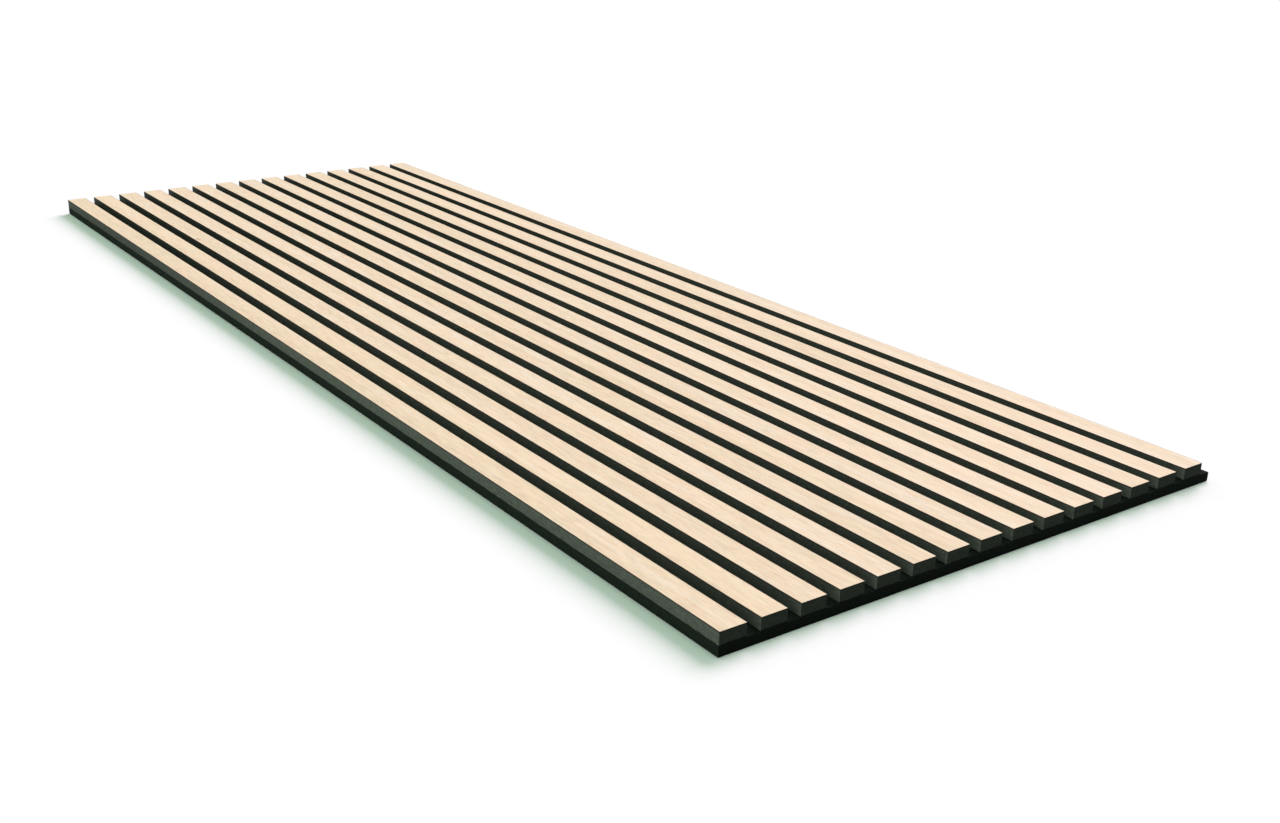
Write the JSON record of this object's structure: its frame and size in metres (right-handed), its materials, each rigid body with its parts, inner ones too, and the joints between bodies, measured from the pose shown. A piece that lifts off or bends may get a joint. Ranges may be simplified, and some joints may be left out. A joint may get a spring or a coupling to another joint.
{
  "type": "acoustic slat wall panel",
  "caption": "Flat acoustic wall panel: wood-veneered black slats set side by side with narrow gaps on a black felt backing, which runs on as a lip along one long edge.",
  "frame": {"origin": "centre of the felt's back face, the face that goes against the wall", "axes": "+X across the slats, from the flush long edge to the felt lip; +Y along the slats; +Z out of the wall, towards the veneer"},
  "size_m": [0.6, 1.65, 0.022],
  "materials": {
    "felt": "matte needle-punched felt",
    "black_board": "matte through-dyed black fibreboard",
    "veneer": "pale straight-grained veneer, matt lacquer",
    "staple_wire": "galvanised flat wire"
  },
  "bodies": {
    "root": {"acoustic_felt": "felt", "slat_core_01": "black_board", "slat_core_02": "black_board", "slat_core_03": "black_board", "slat_core_04": "black_board", "slat_core_05": "black_board", "slat_core_06": "black_board", "slat_core_07": "black_board", "slat_core_08": "black_board", "slat_core_09": "black_board", "slat_core_10": "black_board", "slat_core_11": "black_board", "slat_core_12": "black_board", "slat_core_13": "black_board", "slat_core_14": "black_board", "slat_core_15": "black_board", "slat_veneer_01": "veneer", "slat_veneer_02": "veneer", "slat_veneer_03": "veneer", "slat_veneer_04": "veneer", "slat_veneer_05": "veneer", "slat_veneer_06": "veneer", "slat_veneer_07": "veneer", "slat_veneer_08": "veneer", "slat_veneer_09": "veneer", "slat_veneer_10": "veneer", "slat_veneer_11": "veneer", "slat_veneer_12": "veneer", "slat_veneer_13": "veneer", "slat_veneer_14": "veneer", "slat_veneer_15": "veneer", "staples": "staple_wire"}
  },
  "joints": []
}
